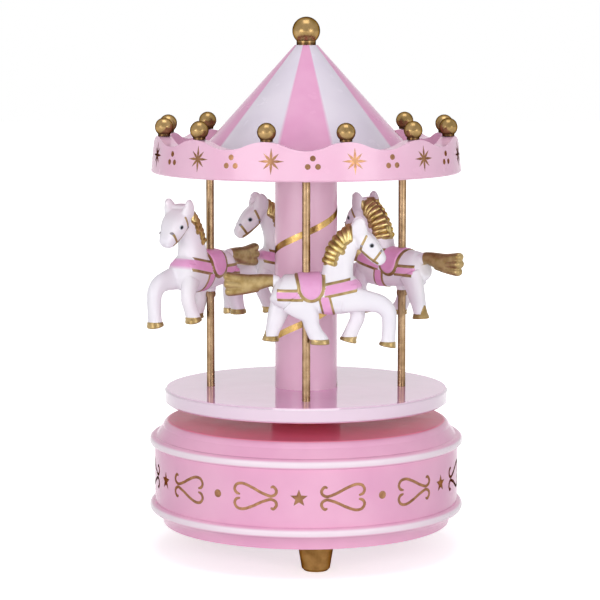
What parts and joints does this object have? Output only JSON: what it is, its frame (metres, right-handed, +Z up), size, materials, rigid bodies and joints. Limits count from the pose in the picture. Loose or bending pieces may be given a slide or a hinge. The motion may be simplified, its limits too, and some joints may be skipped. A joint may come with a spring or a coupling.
{
  "type": "carousel music box",
  "caption": "Wind-up carousel music box: round footed base with a spring movement that turns a platform, column, poles with horses and a striped canopy.",
  "frame": {"origin": "on the table, under the carousel's axis", "axes": "+Z up along the axis of rotation, -Y towards the viewer of the picture, +X to the viewer's right"},
  "size_m": [0.105, 0.105, 0.1779],
  "materials": {
    "pink_lacquer": "glossy pink lacquer",
    "pale_pink": "glossy pale pink lacquer",
    "deep_pink": "glossy deep pink",
    "striped_roof": "glossy, painted in pink and white panels",
    "horse_white": "glossy white, painted pink and gold",
    "antique_gold": "metallized antique gold",
    "gold_metal": "gold plated tube",
    "brass": "turned brass",
    "steel": "bright steel",
    "fly_plastic": "matte moulded blade"
  },
  "bodies": {
    "base": {"front_foot": "antique_gold", "rear_right_foot": "antique_gold", "rear_left_foot": "antique_gold", "foot_screws": "steel", "base_pan": "pink_lacquer", "base_wall": "pink_lacquer", "base_lid": "pink_lacquer", "case_screws": "steel", "shaft_bush": "brass", "movement_bedplate": "steel", "movement_screws": "steel", "spring_barrel": "steel", "barrel_cover": "steel", "mainspring": "steel", "comb": "steel", "comb_block": "brass", "comb_screws": "steel", "cylinder_inner_bearing": "brass", "cylinder_outer_bearing": "brass", "governor_frame": "brass"},
    "carousel": {"drive_shaft": "steel", "drive_wheel": "brass", "ratchet_wheel": "brass", "click": "steel", "turntable_hub": "deep_pink", "hub_screws": "steel", "platform": "pale_pink", "centre_column": "pink_lacquer", "tie_rod": "steel", "canopy_deck": "pink_lacquer", "canopy_crown": "pink_lacquer", "crown_balls": "antique_gold", "canopy_cone": "striped_roof", "top_finial": "antique_gold", "front_pole": "gold_metal", "front_collar": "gold_metal", "front_horse": "horse_white", "right_pole": "gold_metal", "right_collar": "gold_metal", "right_horse": "horse_white", "back_pole": "gold_metal", "back_collar": "gold_metal", "back_horse": "horse_white", "left_pole": "gold_metal", "left_collar": "gold_metal", "left_horse": "horse_white"},
    "cylinder": {"tune_cylinder": "brass", "cylinder_axle": "steel", "cylinder_pinion": "brass", "cylinder_wheel": "brass"},
    "governor_wheel": {"governor_arbor": "steel", "governor_pinion": "brass", "worm_wheel": "brass"},
    "governor_fly": {"worm_shaft": "steel", "fly": "fly_plastic"}
  },
  "joints": [
    {"name": "carousel_spin", "type": "hinge", "parent": "base", "child": "carousel", "pos_m": [0, 0, 0], "axis": [0, 0, 1], "continuous": true},
    {"name": "cylinder_spin", "type": "hinge", "parent": "base", "child": "cylinder", "pos_m": [0, 0, 0.0211], "axis": [1, 0, 0], "continuous": true},
    {"name": "governor_wheel_spin", "type": "hinge", "parent": "base", "child": "governor_wheel", "pos_m": [0, 0.008, 0.0211], "axis": [1, 0, 0], "continuous": true},
    {"name": "fly_spin", "type": "hinge", "parent": "base", "child": "governor_fly", "pos_m": [0.0369, 0.0141, 0], "axis": [0, 0, 1], "continuous": true}
  ],
  "couplings": [
    {"joint": "cylinder_spin", "follows": "carousel_spin", "ratio": -3.5},
    {"joint": "governor_wheel_spin", "follows": "carousel_spin", "ratio": 10.5},
    {"joint": "fly_spin", "follows": "carousel_spin", "ratio": -52.5}
  ]
}
